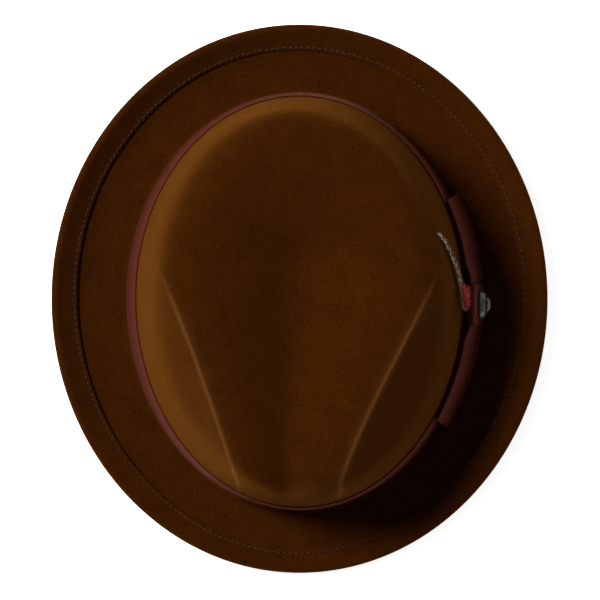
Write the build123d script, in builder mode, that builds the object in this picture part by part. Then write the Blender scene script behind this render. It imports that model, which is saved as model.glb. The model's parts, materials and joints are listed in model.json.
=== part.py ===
from build123d import *

import os
from functools import lru_cache
from math import cos, exp, hypot, pi, radians, sin

# A stingy-brim felt fedora: felt crown and brim, ribbon and bow, feathers, pin, sweatband and lining.
#
# Frame: millimetres, +Z up, -Y towards the front of the hat, +X towards the wearer's left, where the bow is.
# The origin is the middle of the hat's footprint, on the table that it stands on.

os.makedirs("parts", exist_ok=True)

UP = Vector(0, 0, 1)
NUDGES = (Vector(1, 0, 0), Vector(0, 1, 0), UP)

# The wearer's head, and the layers between it and the outside.
HEAD_HALF_WIDTH = 82.8
HEAD_HALF_LENGTH = 100.2
FELT = 2.2
LEATHER = 1.0
SATIN = 0.3
GROSGRAIN = 0.5
GAP = 0.3
LINING_DROP = 1.1
SNUG = 0.2

LINING_INSET = FELT + GAP
SWEATBAND_INSET = LINING_INSET + SATIN + GAP
HALF_WIDTH = HEAD_HALF_WIDTH + SWEATBAND_INSET + LEATHER
HALF_LENGTH = HEAD_HALF_LENGTH + SWEATBAND_INSET + LEATHER

# The crown: walls that lean inwards, a rounded rim, a teardrop dent and two front pinches.
CROWN_Y = -1.3
CROWN_HEIGHT = 105.0
EGG = 0.012
SIDE_LEAN = 0.19
END_LEAN = 0.115
RIM_ROUNDING = 14.0
FALL_TO_BACK = 0.045
DENT_DEPTH = 20.0
DENT_FRONT_SHARE = 0.45
DENT_POINT = 0.3
DENT_HALF_WIDTH = 66.0
DENT_FRONT_HALF_WIDTH = 24.0
DENT_MIDDLE_Y = 17.0
DENT_BACK_Y = 87.0
DENT_FRONT_Y = -84.0
DENT_FLARE = 1.15
DENT_SKEW = 5.0
PINCH_DEPTH = 23.0
PINCH_REACH = 19.0
PINCH_RIDGE = 4.5
PINCH_MIDDLE_Y = -41.0
PINCH_HALF_LENGTH = 71.0
CORE_Z = 45.0

# The brim: flat by the head, curled up to its edge, with the edge folded over on top and stitched.
BRIM_HALF_WIDTH = 123.0
BRIM_HALF_LENGTH = 136.2
BREAK_RADIUS = 3.6
BRIM_FLAT = 11.0
CURL_POWER = 2.1
CURL_SIDE = 11.5
CURL_BACK = 10.0
CURL_FRONT = 3.2
WELT_WIDTH = 9.6
WELT = 2.0
FOLD_RADIUS = (FELT + WELT) / 2
SNAP_Y = -109.0
SNAP_GAP = 0.8
SNAP_LEAN = 24.0

COLUMNS = 108
TOP_RISE = 84
RISE_STEP = 4
TIP_RISE = 36
TIP_SEAM = 0.5
SHIELD_RISE = 56

# The ribbon round the crown.
RIBBON_BOTTOM = 6.6
RIBBON_TOP = 38.0
RIBBON_FACE = SNUG + GROSGRAIN

# The bow stands on columns given in degrees, and its layers lie so far outside the felt.
BOW_FRONT = -36.5
BOW_BACK = 30.5
BOW_END_DROP = 1.1
BOW_BACKING = 3.1
BOW_LOOP_NEAR = 3.8
BOW_LOOP_LOW = 5.9
BOW_LOOP_HIGH = 5.4
LOOP_STARTS = (-4.9, 3.3)
KNOT_FRONT = -6.7
KNOT_BACK = 5.1
KNOT_NEAR = 2.4
KNOT_LOW = 6.6
KNOT_HIGH = 6.1
KNOT_BOTTOM = 5.7
KNOT_TOP = 38.7

# The pin on the knot.
PIN_COLUMN = -0.8
PIN_Z = 22.0
PIN_RADIUS = 7.25
PIN_TOP_RADIUS = 5.7
PIN_RIM = 0.9
PIN_THICKNESS = 2.8
DOME_RADIUS = 3.75
DOME_HEIGHT = 2.4
POST_RADIUS = 0.6
POST_LENGTH = 2.85
POST_PLAY = 0.02
CLUTCH_RADIUS = 4.4
CLUTCH_TOP = 1.05
CLUTCH_BOTTOM = 2.75

# The feathers: (y, degrees above the crown's core) along each, and how far it stands off the felt.
QUILL_PATH = ((-9, -20.5), (-7.4, -14), (-6, -8), (-4.6, -2.6))
QUILL_OUT = 1.55
QUILL_RADIUS = 0.5
LONG_PATH = ((-3.6, 0), (4, 5), (12, 11.5), (20, 19.5), (26, 27), (30, 34))
SHORT_PATH = ((-3.6, 0), (2, 4), (8, 9.5), (14, 15.5), (19, 21.5))
RED_PATH = ((-3.6, 0), (-1, 3), (2, 6.5), (5, 10))
GOLD_PATH = ((-3.6, 0), (-2, 2.5), (0.5, 5), (3, 7.5))
BLADE = 0.5

SWEATBAND_FACE = SWEATBAND_INSET + LEATHER
SWEATBAND_BOTTOM = 3.2
SWEATBAND_TOP = 44.0
REED_RADIUS = 0.85
REED_Z = 1.75
STITCH = (2.6, 0.3, 0.4)
BRIM_STITCH = (3.4, 0.45, 0.3)
STITCH_FROM_WELT = 1.6


def smooth_step(value, start, end):
    """0 at start, 1 at end, and an even S between them."""
    share = min(1.0, max(0.0, (value - start) / (end - start)))
    return share * share * (3 - 2 * share)


def dent_half_width(y):
    """Half the distance between the two ridges."""
    share = max(0.0, (y - DENT_FRONT_Y) / (DENT_MIDDLE_Y - DENT_FRONT_Y))
    flare = (DENT_HALF_WIDTH - DENT_FRONT_HALF_WIDTH) * share**DENT_FLARE
    return min(DENT_FRONT_HALF_WIDTH + flare, DENT_HALF_WIDTH)


def dent_depth(across, y):
    """How far the teardrop dent is pushed in."""
    along = max(0.0, y - DENT_MIDDLE_Y) / (DENT_BACK_Y - DENT_MIDDLE_Y)
    reach = hypot(across / dent_half_width(y), along, DENT_POINT)
    shape = max(0.0, 1 - reach) ** 2 / (1 - DENT_POINT) ** 2
    front = DENT_FRONT_SHARE + (1 - DENT_FRONT_SHARE) * smooth_step(y, DENT_FRONT_Y, 0.0)
    return DENT_DEPTH * front * shape


def pinch_depth(across, y):
    """How far the front pinches are pushed in, outside the ridges."""
    beyond = max(0.0, across - dent_half_width(y))
    rounded = hypot(beyond, PINCH_RIDGE) - PINCH_RIDGE
    fade = max(0.0, 1 - ((y - PINCH_MIDDLE_Y) / PINCH_HALF_LENGTH) ** 2)
    return PINCH_DEPTH * fade * (1 - exp(-rounded / PINCH_REACH))


def crown_field(x, y, z):
    """Roughly the distance outside the felt: the leaning wall and the creased top, blended at the rim."""
    y -= CROWN_Y
    half_width = (HALF_WIDTH - SIDE_LEAN * z) * (1 + EGG * y / HALF_LENGTH)
    share = hypot(x / half_width, y / (HALF_LENGTH - END_LEAN * z))
    wall = hypot(x, y) * (1 - 1 / share) if share > 1e-6 else -half_width
    across = abs(x + DENT_SKEW * smooth_step(y, DENT_MIDDLE_Y, DENT_FRONT_Y))
    fall = FALL_TO_BACK * max(0.0, y)
    top = z - CROWN_HEIGHT + fall + dent_depth(across, y) + pinch_depth(across, y)
    return (wall + top + hypot(wall - top, RIM_ROUNDING)) / 2


def on_crown(start, direction, outset):
    """The point where a ray leaves the crown, moved outset mm out along the felt's normal."""
    near = 0.0
    far = 160.0
    for _ in range(26):
        middle = (near + far) / 2
        inside = crown_field(*(start + direction * middle)) < 0
        near, far = (middle, far) if inside else (near, middle)
    point = start + direction * near
    slope = Vector(*(crown_field(*(point + n)) - crown_field(*(point - n)) for n in NUDGES))
    return point + slope.normalized() * outset


def heading(t):
    """The level direction of column t, from the middle of the crown."""
    return Vector(HALF_WIDTH * cos(t), HALF_LENGTH * sin(t), 0).normalized()


def outward(t):
    """The wall's level normal at column t."""
    return Vector(cos(t) / HALF_WIDTH, sin(t) / HALF_LENGTH, 0).normalized()


def wall_point(t, z, outset):
    """A point on the crown wall at column t and height z, moved out level."""
    return on_crown(Vector(0, CROWN_Y, z), heading(t), 0) + outward(t) * outset


def dome_point(t, rise, outset):
    """A point on the crown above its core, rise degrees above level."""
    direction = heading(t) * cos(radians(rise)) + UP * sin(radians(rise))
    return on_crown(Vector(0, CROWN_Y, CORE_Z), direction, outset)


def ring(point_at):
    """A smooth closed wire through one point per column."""
    points = [point_at(2 * pi * i / COLUMNS) for i in range(COLUMNS)]
    steps = [float(i) for i in range(COLUMNS + 1)]
    return Wire([Edge.make_spline(points, periodic=True, parameters=steps)])


def wall_rings(heights, outset):
    return [ring(lambda t, z=z: wall_point(t, z, outset)) for z in heights]


def dome_rings(rises, outset):
    return [ring(lambda t, rise=rise: dome_point(t, rise, outset)) for rise in rises]


def spread(start, end, count):
    """Evenly spaced values from start to end, with both ends."""
    return [start + (end - start) * i / (count - 1) for i in range(count)]


def skin(sections, ruled=False):
    """The faces of a loft through the sections."""
    return list(Shell.make_loft(sections, ruled).faces())


def closed_solid(faces):
    """The solid inside faces that meet edge to edge."""
    solid = Solid(Shell(faces))
    return solid if solid.volume > 0 else Solid(-Shell(faces))


class BrimColumn:
    """The brim's outline in one column, from the foot of the crown to its folded edge."""

    def __init__(self, t):
        self.foot = wall_point(t, FELT + BREAK_RADIUS, 0)
        edge = Vector(BRIM_HALF_WIDTH * cos(t), BRIM_HALF_LENGTH * sin(t), self.foot.Z)
        self.way = (edge - self.foot).normalized()
        self.reach = (edge - self.foot).length - FOLD_RADIUS
        self.welt = self.reach - WELT_WIDTH
        end = CURL_BACK if sin(t) > 0 else CURL_FRONT
        self.curl = CURL_SIDE * cos(t) ** 2 + end * sin(t) ** 2

    def share(self, along):
        """0 where the curl starts and 1 at the folded edge."""
        return max(0.0, (along - BRIM_FLAT) / (self.reach - BRIM_FLAT))

    def slope(self, along):
        return self.curl * CURL_POWER * self.share(along) ** (CURL_POWER - 1) / (self.reach - BRIM_FLAT)

    def normal(self, along):
        return (UP - self.way * self.slope(along)).normalized()

    def around_break(self, turn, radius):
        """A point on the bend between the crown and the brim."""
        centre = self.foot + self.way * BREAK_RADIUS
        return centre - (self.way * cos(radians(turn)) + UP * sin(radians(turn))) * radius

    def on_sheet(self, along, lift):
        """A point of the felt sheet, lifted off its middle along its normal."""
        height = FELT / 2 + self.curl * self.share(along) ** CURL_POWER
        level = Vector(self.foot.X, self.foot.Y, height) + self.way * along
        return level + self.normal(along) * lift

    def on_fold(self, turn):
        """A point on the folded edge, from its top at 0 to its underside at 180."""
        tangent = (self.way + UP * self.slope(self.reach)).normalized()
        swing = self.normal(self.reach) * cos(radians(turn)) + tangent * sin(radians(turn))
        return self.on_sheet(self.reach, WELT / 2) + swing * FOLD_RADIUS


@lru_cache(None)
def brim_column(t):
    return BrimColumn(t)


def brim_ring(point_of):
    """A closed wire through one point per brim column."""
    return ring(lambda t: point_of(brim_column(t)))


def break_rings(turns, radius):
    return [brim_ring(lambda c, turn=turn: c.around_break(turn, radius)) for turn in turns]


def curl_rings(shares, lift):
    """Rings on the sheet from the end of the flat at share 0 to the welt at share 1."""

    def at(c, share):
        return c.on_sheet(BRIM_FLAT + (c.welt - BRIM_FLAT) * share, lift)

    return [brim_ring(lambda c, share=share: at(c, share)) for share in shares]


def edge_rings(shares, lift):
    """Rings on the sheet from the welt at share 0 to the fold at share 1."""

    def at(c, share):
        return c.on_sheet(c.welt + WELT_WIDTH * share, lift)

    return [brim_ring(lambda c, share=share: at(c, share)) for share in shares]


def crown_faces(bottom, outset):
    """The lowest ring of the crown, and the faces from there up to a small cone at the middle of the top."""
    domes = dome_rings(range(0, TOP_RISE + 1, RISE_STEP), outset)
    walls = wall_rings(spread(bottom, CORE_Z - 8, 4), outset) + [domes[0]]
    return walls[0], skin(walls, True) + capped(domes, outset)


def capped(rings, outset):
    """A skin that ends in a small cone at the middle of the top."""
    middle = Vertex(*dome_point(0, 90, outset))
    return skin(rings) + skin([rings[-1], middle], True)


def felt_faces():
    """Every face of the felt, outside and then inside."""
    outer_foot, outside = crown_faces(FELT + BREAK_RADIUS, 0)
    inner_foot, inside = crown_faces(FELT + BREAK_RADIUS, -FELT)
    bend = [outer_foot] + break_rings((30, 60, 90), BREAK_RADIUS)
    top = curl_rings(spread(0, 1, 6), FELT / 2)
    welt = edge_rings(spread(0, 1, 4), FELT / 2 + WELT)
    fold = [welt[-1]] + [brim_ring(lambda c, turn=turn: c.on_fold(turn)) for turn in (45, 90, 135, 180)]
    under = [fold[-1]] + edge_rings((0.67, 0.33, 0), -FELT / 2) + curl_rings(spread(1, 0, 6)[1:], -FELT / 2)
    inner_bend = break_rings((90, 60, 30), BREAK_RADIUS + FELT) + [inner_foot]
    steps = skin([bend[-1], top[0]], True) + skin([top[-1], welt[0]], True)
    stand = Face(under[-1], [inner_bend[0]])
    rounded = skin(bend) + skin(top) + skin(welt) + skin(fold) + skin(under) + skin(inner_bend)
    return outside + rounded + inside + steps + [stand]


def sleeve(near, far):
    """A closed sleeve between two stacks of rings that run the same way."""
    ends = skin([near[0], far[0]], True) + skin([near[-1], far[-1]], True)
    return closed_solid(skin(near, True) + skin(far, True) + ends)


def lining_rings(rises, outset):
    """Rings of the lining, which hangs a little clear of the felt above the wall."""

    def at(t, rise):
        return dome_point(t, rise, outset - LINING_DROP * smooth_step(rise, 0, 20))

    return [ring(lambda t, rise=rise: at(t, rise)) for rise in rises]


def bowl(rises, near, far):
    """A closed shell of lining between two depths, capped at the top."""
    inner = lining_rings(rises, near)
    outer = lining_rings(rises, far)
    caps = capped(inner, near - LINING_DROP) + capped(outer, far - LINING_DROP)
    return closed_solid(caps + skin([inner[0], outer[0]], True))


def strip_wire(start, end, z, near, far):
    """The level outline of a strip that follows the wall from column start to column end."""
    columns = [radians(d) for d in spread(start, end, 9)]
    inner = Edge.make_spline([wall_point(t, z, near(t)) for t in columns])
    outer = Edge.make_spline([wall_point(t, z, far(t)) for t in reversed(columns)])
    ends = [Edge.make_line(inner @ 1, outer @ 0), Edge.make_line(outer @ 1, inner @ 0)]
    return Wire([inner, ends[0], outer, ends[1]])


def strip(columns, heights, near, far_low, far_high=None):
    """A strip of cloth on the crown wall; near and far are distances outside the felt."""

    def as_rule(value):
        return value if callable(value) else lambda t: value

    low = strip_wire(*columns, heights[0], as_rule(near), as_rule(far_low))
    high = strip_wire(*columns, heights[1], as_rule(near), as_rule(far_high or far_low))
    return Solid.make_loft([low, high], ruled=True)


def bow_out(value):
    """The bow comes closer to the crown towards its two ends."""
    return lambda t: value - BOW_END_DROP * smooth_step(abs(t), 0.12, 0.5)


def bow_loop(start, end):
    """A flattened loop of ribbon from the knot out to one end of the bow."""
    inwards = 0.5 if end < start else -0.5
    heights = (RIBBON_BOTTOM + 0.2, RIBBON_TOP - 0.2)
    past = (heights[0] - 1, heights[1] + 1)
    outside = (bow_out(BOW_LOOP_NEAR), bow_out(BOW_LOOP_LOW), bow_out(BOW_LOOP_HIGH))
    layer = (GROSGRAIN, -GROSGRAIN, -GROSGRAIN)
    inside = [bow_out(v + d) for v, d in zip((BOW_LOOP_NEAR, BOW_LOOP_LOW, BOW_LOOP_HIGH), layer)]
    with BuildPart(mode=Mode.PRIVATE) as loop:
        add(strip((start, end), heights, *outside))
        add(strip((start + 3 * inwards, end + inwards), past, *inside), mode=Mode.SUBTRACT)
    return loop.part


def pin_plane():
    """The pin's own plane on the knot's face, with Z straight out of it."""
    t = radians(PIN_COLUMN)
    share = (PIN_Z - KNOT_BOTTOM) / (KNOT_TOP - KNOT_BOTTOM)
    face = KNOT_LOW + (KNOT_HIGH - KNOT_LOW) * share
    tilt = SIDE_LEAN + (KNOT_LOW - KNOT_HIGH) / (KNOT_TOP - KNOT_BOTTOM)
    out = (outward(t) + UP * tilt).normalized()
    return Plane(origin=wall_point(t, PIN_Z, face) + out * 0.25, x_dir=(0, 1, 0), z_dir=out)


def side_point(y, rise, outset):
    """A point over the wearer's left side of the crown."""
    start = Vector(0, y, CORE_Z)
    return on_crown(start, Vector(cos(radians(rise)), 0, sin(radians(rise))), outset)


def blade(path, outset, half_widths):
    """A flat feather along a path, as a loft through diamonds."""
    sections = []
    for (y, rise), half_width in zip(path, half_widths):
        middle = side_point(y, rise, outset)
        out = (middle - side_point(y, rise, 0)).normalized()
        ahead = side_point(y + 0.8, rise + 0.8, outset)
        behind = side_point(y - 0.8, rise - 0.8, outset)
        along = (ahead - behind).normalized()
        across = out.cross(along).normalized() * half_width
        thick = out * (BLADE / 2)
        corners = [middle + across, middle + thick, middle - across, middle - thick]
        sections.append(Wire.make_polygon(corners))
    return Solid.make_loft(sections, ruled=True)


def stitch_at(point, along, up, size):
    """One straight stitch."""
    box = Solid.make_box(*size).moved(Location((-size[0] / 2, -size[1] / 2, -size[2] / 2)))
    return box.moved(Plane(origin=point, x_dir=along, z_dir=up).location)


def brim_stitches(wanted):
    """The stitches that hold the welt, for the columns whose y is wanted."""
    found = []
    for i in range(COLUMNS):
        t = 2 * pi * i / COLUMNS
        column = brim_column(t)
        ahead = BrimColumn(t + 0.01)
        point = column.on_sheet(column.welt + STITCH_FROM_WELT, FELT / 2 + WELT + 0.22)
        along = ahead.on_sheet(ahead.welt + STITCH_FROM_WELT, FELT / 2 + WELT + 0.22) - point
        if wanted(point.Y):
            found.append(stitch_at(point, along, column.normal(column.welt), BRIM_STITCH))
    return found


def band_stitches(count, z, outset, size):
    """Level stitches round the crown wall."""
    found = []
    for i in range(count):
        t = 2 * pi * (i + 0.5) / count
        found.append(stitch_at(wall_point(t, z, outset), UP.cross(outward(t)), UP, size))
    return found


# The felt: one blocked piece, cut along the line where the front of the brim snaps.
hat_felt = closed_solid(felt_faces())

with BuildPart() as felt_body:
    add(hat_felt)
    split(bisect_by=Plane(origin=(0, SNAP_Y, 0), z_dir=(0, 1, 0)), keep=Keep.TOP)
felt_body.part.label = "felt_body"
export_step(felt_body.part, "parts/felt_body.step")

with BuildPart() as front_brim:
    add(hat_felt)
    snap_slope = (0, -cos(radians(SNAP_LEAN)), -sin(radians(SNAP_LEAN)))
    split(bisect_by=Plane(origin=(0, SNAP_Y - SNAP_GAP, 0), z_dir=snap_slope), keep=Keep.TOP)
front_brim.part.label = "front_brim"
export_step(front_brim.part, "parts/front_brim.step")

with BuildPart() as brim_stitches_rear:
    add(brim_stitches(lambda y: y > SNAP_Y + 3))
brim_stitches_rear.part.label = "brim_stitches_rear"
export_step(brim_stitches_rear.part, "parts/brim_stitches_rear.step")

with BuildPart() as brim_stitches_front:
    add(brim_stitches(lambda y: y < SNAP_Y - 8))
brim_stitches_front.part.label = "brim_stitches_front"
export_step(brim_stitches_front.part, "parts/brim_stitches_front.step")

# The ribbon and its tacks.
ribbon_heights = spread(RIBBON_BOTTOM, RIBBON_TOP, 5)

with BuildPart() as ribbon_band:
    add(sleeve(wall_rings(ribbon_heights, SNUG), wall_rings(ribbon_heights, RIBBON_FACE)))
ribbon_band.part.label = "ribbon_band"
export_step(ribbon_band.part, "parts/ribbon_band.step")

with BuildPart() as ribbon_tacks:
    add(band_stitches(6, RIBBON_BOTTOM + 2, RIBBON_FACE + 0.25, (1.8, 0.3, 0.4)))
ribbon_tacks.part.label = "ribbon_tacks"
export_step(ribbon_tacks.part, "parts/ribbon_tacks.step")

# The bow.
with BuildPart() as bow_backing:
    backing_span = (BOW_FRONT + 1.5, BOW_BACK - 1.5)
    backing = (bow_out(BOW_BACKING), bow_out(BOW_BACKING + GROSGRAIN))
    add(strip(backing_span, (RIBBON_BOTTOM + 0.6, RIBBON_TOP - 0.6), *backing))
bow_backing.part.label = "bow_backing"
export_step(bow_backing.part, "parts/bow_backing.step")

with BuildPart() as bow_rear_loop:
    add(bow_loop(LOOP_STARTS[1], BOW_BACK))
bow_rear_loop.part.label = "bow_rear_loop"
export_step(bow_rear_loop.part, "parts/bow_rear_loop.step")

with BuildPart() as bow_front_loop:
    add(bow_loop(LOOP_STARTS[0], BOW_FRONT))
bow_front_loop.part.label = "bow_front_loop"
export_step(bow_front_loop.part, "parts/bow_front_loop.step")

with BuildPart() as bow_knot:
    knot_heights = (KNOT_BOTTOM, KNOT_TOP)
    hollow = (KNOT_BOTTOM + GROSGRAIN, KNOT_TOP - GROSGRAIN)
    add(strip((KNOT_FRONT, KNOT_BACK), knot_heights, KNOT_NEAR, KNOT_LOW, KNOT_HIGH))
    inside = (KNOT_NEAR + GROSGRAIN, KNOT_LOW - GROSGRAIN, KNOT_HIGH - GROSGRAIN)
    add(strip((KNOT_FRONT - 2, KNOT_BACK + 2), hollow, *inside), mode=Mode.SUBTRACT)
    with BuildSketch(pin_plane().offset(-POST_LENGTH + 0.3)):
        Circle(POST_RADIUS + 0.2)
    extrude(amount=POST_LENGTH + 1, mode=Mode.SUBTRACT)
bow_knot.part.label = "bow_knot"
export_step(bow_knot.part, "parts/bow_knot.step")

with BuildPart() as bow_tacks:
    for column in (BOW_FRONT + 3, BOW_BACK - 3):
        for z in (12, 32):
            tack_columns = (column - 0.4, column + 0.4)
            add(strip(tack_columns, (z, z + 0.8), RIBBON_FACE + 0.1, bow_out(BOW_BACKING - 0.1)))
bow_tacks.part.label = "bow_tacks"
export_step(bow_tacks.part, "parts/bow_tacks.step")

# The pin on the knot.
with BuildPart() as pin_dish:
    with BuildSketch(pin_plane()):
        Circle(PIN_RADIUS)
    extrude(amount=PIN_RIM)
    with BuildSketch(pin_plane().offset(PIN_RIM)):
        Circle(PIN_RADIUS)
    with BuildSketch(pin_plane().offset(PIN_THICKNESS)):
        Circle(PIN_TOP_RADIUS)
    loft()
pin_dish.part.label = "pin_dish"
export_step(pin_dish.part, "parts/pin_dish.step")

with BuildPart() as pin_dome:
    with BuildSketch(pin_plane().offset(PIN_THICKNESS + 0.02)):
        Circle(DOME_RADIUS)
    extrude(amount=DOME_HEIGHT)
    fillet(pin_dome.edges().group_by(SortBy.DISTANCE)[-1], DOME_HEIGHT * 0.7)
pin_dome.part.label = "pin_dome"
export_step(pin_dome.part, "parts/pin_dome.step")

with BuildPart() as pin_post:
    with BuildSketch(pin_plane().offset(-0.02)):
        Circle(POST_RADIUS)
    extrude(amount=-POST_LENGTH)
pin_post.part.label = "pin_post"
export_step(pin_post.part, "parts/pin_post.step")

with BuildPart() as pin_clutch:
    with BuildSketch(pin_plane().offset(-CLUTCH_TOP)):
        Circle(CLUTCH_RADIUS)
        Circle(POST_RADIUS + POST_PLAY, mode=Mode.SUBTRACT)
    extrude(amount=CLUTCH_TOP - CLUTCH_BOTTOM)
pin_clutch.part.label = "pin_clutch"
export_step(pin_clutch.part, "parts/pin_clutch.step")

# The feathers, tucked between the ribbon and the knot.
quill_points = [side_point(y, rise, QUILL_OUT) for y, rise in QUILL_PATH]

with BuildPart() as feather_quill:
    with BuildLine():
        quill_line = Spline(*quill_points)
    with BuildSketch(Plane(origin=quill_line @ 0, z_dir=quill_line % 0)):
        Circle(QUILL_RADIUS)
    sweep()
feather_quill.part.label = "feather_quill"
export_step(feather_quill.part, "parts/feather_quill.step")

with BuildPart() as feather_binding:
    with BuildSketch(Plane(origin=quill_line @ 0.9, z_dir=quill_line % 0.95)):
        Circle(QUILL_RADIUS + 0.35)
        Circle(QUILL_RADIUS + 0.06, mode=Mode.SUBTRACT)
    extrude(amount=1.8)
feather_binding.part.label = "feather_binding"
export_step(feather_binding.part, "parts/feather_binding.step")

with BuildPart() as striped_feather_long:
    add(blade(LONG_PATH, 1.1, (0.8, 2.8, 4.0, 4.2, 3.2, 0.8)))
striped_feather_long.part.label = "striped_feather_long"
export_step(striped_feather_long.part, "parts/striped_feather_long.step")

with BuildPart() as striped_feather_short:
    add(blade(SHORT_PATH, 1.9, (0.8, 2.6, 3.4, 3.0, 0.7)))
striped_feather_short.part.label = "striped_feather_short"
export_step(striped_feather_short.part, "parts/striped_feather_short.step")

with BuildPart() as red_feather:
    add(blade(RED_PATH, 2.7, (1.2, 4.0, 4.4, 1.5)))
red_feather.part.label = "red_feather"
export_step(red_feather.part, "parts/red_feather.step")

with BuildPart() as gold_feather:
    add(blade(GOLD_PATH, 3.5, (0.8, 1.5, 1.5, 0.5)))
gold_feather.part.label = "gold_feather"
export_step(gold_feather.part, "parts/gold_feather.step")

# The sweatband.
band_heights = spread(SWEATBAND_BOTTOM, SWEATBAND_TOP, 6)

with BuildPart() as sweatband:
    add(sleeve(wall_rings(band_heights, -SWEATBAND_FACE), wall_rings(band_heights, -SWEATBAND_INSET)))
    with Locations((0, HEAD_HALF_LENGTH, SWEATBAND_TOP / 2)):
        Box(0.6, 30, SWEATBAND_TOP * 2, mode=Mode.SUBTRACT)
sweatband.part.label = "sweatband"
export_step(sweatband.part, "parts/sweatband.step")


def reed_rings(turns):
    """Rings round the reed's own circle."""
    inset = SWEATBAND_INSET + LEATHER / 2
    found = []
    for turn in turns:
        z = REED_Z + REED_RADIUS * sin(radians(turn))
        outset = REED_RADIUS * cos(radians(turn)) - inset
        found.append(ring(lambda t, z=z, outset=outset: wall_point(t, z, outset)))
    return found


with BuildPart() as sweatband_reed:
    upper = reed_rings((0, 45, 90, 135, 180))
    lower = reed_rings((225, 270, 315))
    add(closed_solid(skin(upper) + skin([upper[-1], *lower, upper[0]])))
sweatband_reed.part.label = "sweatband_reed"
export_step(sweatband_reed.part, "parts/sweatband_reed.step")

with BuildPart() as sweatband_stitches:
    add(band_stitches(72, SWEATBAND_BOTTOM + 2, -SWEATBAND_FACE - 0.22, STITCH))
sweatband_stitches.part.label = "sweatband_stitches"
export_step(sweatband_stitches.part, "parts/sweatband_stitches.step")

with BuildPart() as sweatband_seam:
    add(strip((87.5, 92.5), (7, SWEATBAND_TOP - 1), -SWEATBAND_FACE - 0.3, -SWEATBAND_FACE - 0.05))
sweatband_seam.part.label = "sweatband_seam"
export_step(sweatband_seam.part, "parts/sweatband_seam.step")

with BuildPart() as sweatband_bow:
    add(strip((82, 98), (9, 15), -SWEATBAND_FACE - 1.2, -SWEATBAND_FACE - 0.5))
    add(strip((88.5, 91.5), (8.4, 15.6), -SWEATBAND_FACE - 1.6, -SWEATBAND_FACE - 0.5))
sweatband_bow.part.label = "sweatband_bow"
export_step(sweatband_bow.part, "parts/sweatband_bow.step")

with BuildPart() as size_label:
    add(strip((58, 70), (14, 28), -SWEATBAND_FACE - 0.35, -SWEATBAND_FACE - 0.1))
size_label.part.label = "size_label"
export_step(size_label.part, "parts/size_label.step")

# The lining: a side strip, an oval tip and a clear shield under the tip.
lining_face = -LINING_INSET - SATIN

side_rises = [*range(0, TIP_RISE, RISE_STEP), TIP_RISE - TIP_SEAM]
wall_heights = spread(9, CORE_Z - 8, 4)


def side_faces(outset):
    """One face of the side lining, with its lowest and highest rings."""
    domes = lining_rings(side_rises, outset)
    walls = wall_rings(wall_heights, outset) + [domes[0]]
    return walls[0], domes[-1], skin(walls, True) + skin(domes)


with BuildPart() as lining_side:
    near_low, near_high, near_faces = side_faces(lining_face)
    far_low, far_high, far_faces = side_faces(-LINING_INSET)
    hems = skin([near_low, far_low], True) + skin([near_high, far_high], True)
    add(closed_solid(near_faces + far_faces + hems))
lining_side.part.label = "lining_side"
export_step(lining_side.part, "parts/lining_side.step")

with BuildPart() as lining_tip:
    add(bowl(range(TIP_RISE, TOP_RISE + 1, RISE_STEP), lining_face, -LINING_INSET))
lining_tip.part.label = "lining_tip"
export_step(lining_tip.part, "parts/lining_tip.step")

with BuildPart() as tip_shield:
    shield_rises = range(SHIELD_RISE, TOP_RISE + 1, RISE_STEP)
    add(bowl(shield_rises, lining_face - GAP - 0.25, lining_face - GAP))
tip_shield.part.label = "tip_shield"
export_step(tip_shield.part, "parts/tip_shield.step")
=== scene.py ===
import json
import math

import bpy
import numpy as np
from mathutils import Matrix, Vector


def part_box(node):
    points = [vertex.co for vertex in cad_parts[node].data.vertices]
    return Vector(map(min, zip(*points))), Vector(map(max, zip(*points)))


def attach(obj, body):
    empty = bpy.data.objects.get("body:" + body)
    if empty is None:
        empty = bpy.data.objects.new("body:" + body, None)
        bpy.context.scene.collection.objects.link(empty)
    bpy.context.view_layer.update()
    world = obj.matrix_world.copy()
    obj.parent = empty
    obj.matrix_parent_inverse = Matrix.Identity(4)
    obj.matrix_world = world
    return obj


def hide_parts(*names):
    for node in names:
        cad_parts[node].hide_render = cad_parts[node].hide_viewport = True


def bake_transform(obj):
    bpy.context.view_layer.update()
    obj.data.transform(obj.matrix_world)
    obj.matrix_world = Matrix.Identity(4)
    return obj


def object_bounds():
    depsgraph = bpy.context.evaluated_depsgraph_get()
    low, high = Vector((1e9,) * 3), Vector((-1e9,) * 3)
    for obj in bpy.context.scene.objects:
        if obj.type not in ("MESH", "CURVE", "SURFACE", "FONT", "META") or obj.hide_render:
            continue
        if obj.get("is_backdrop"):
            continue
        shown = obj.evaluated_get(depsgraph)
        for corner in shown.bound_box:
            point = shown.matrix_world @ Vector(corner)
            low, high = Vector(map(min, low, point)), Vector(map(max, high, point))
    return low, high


# Looks of the felt fedora, built in the frame of its CAD model.
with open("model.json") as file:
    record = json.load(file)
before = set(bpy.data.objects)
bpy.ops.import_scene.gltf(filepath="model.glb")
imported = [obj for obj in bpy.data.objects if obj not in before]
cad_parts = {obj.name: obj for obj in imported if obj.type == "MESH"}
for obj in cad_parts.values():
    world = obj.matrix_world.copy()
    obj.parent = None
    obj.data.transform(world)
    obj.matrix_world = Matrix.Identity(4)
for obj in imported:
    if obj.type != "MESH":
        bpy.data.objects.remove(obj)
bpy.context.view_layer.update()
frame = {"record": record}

MM = 0.001
RNG = np.random.default_rng(7)
UP = np.array([0.0, 0.0, 1.0])
JOINTS = {j["name"]: j for j in frame["record"]["behaviour"]["joints"]}


def low_high(node):
    """A CAD node's box in millimetres."""
    low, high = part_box(node)
    return np.array(low) / MM, np.array(high) / MM


# ---------------------------------------------------------------- the blocked shape, in millimetres

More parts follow.
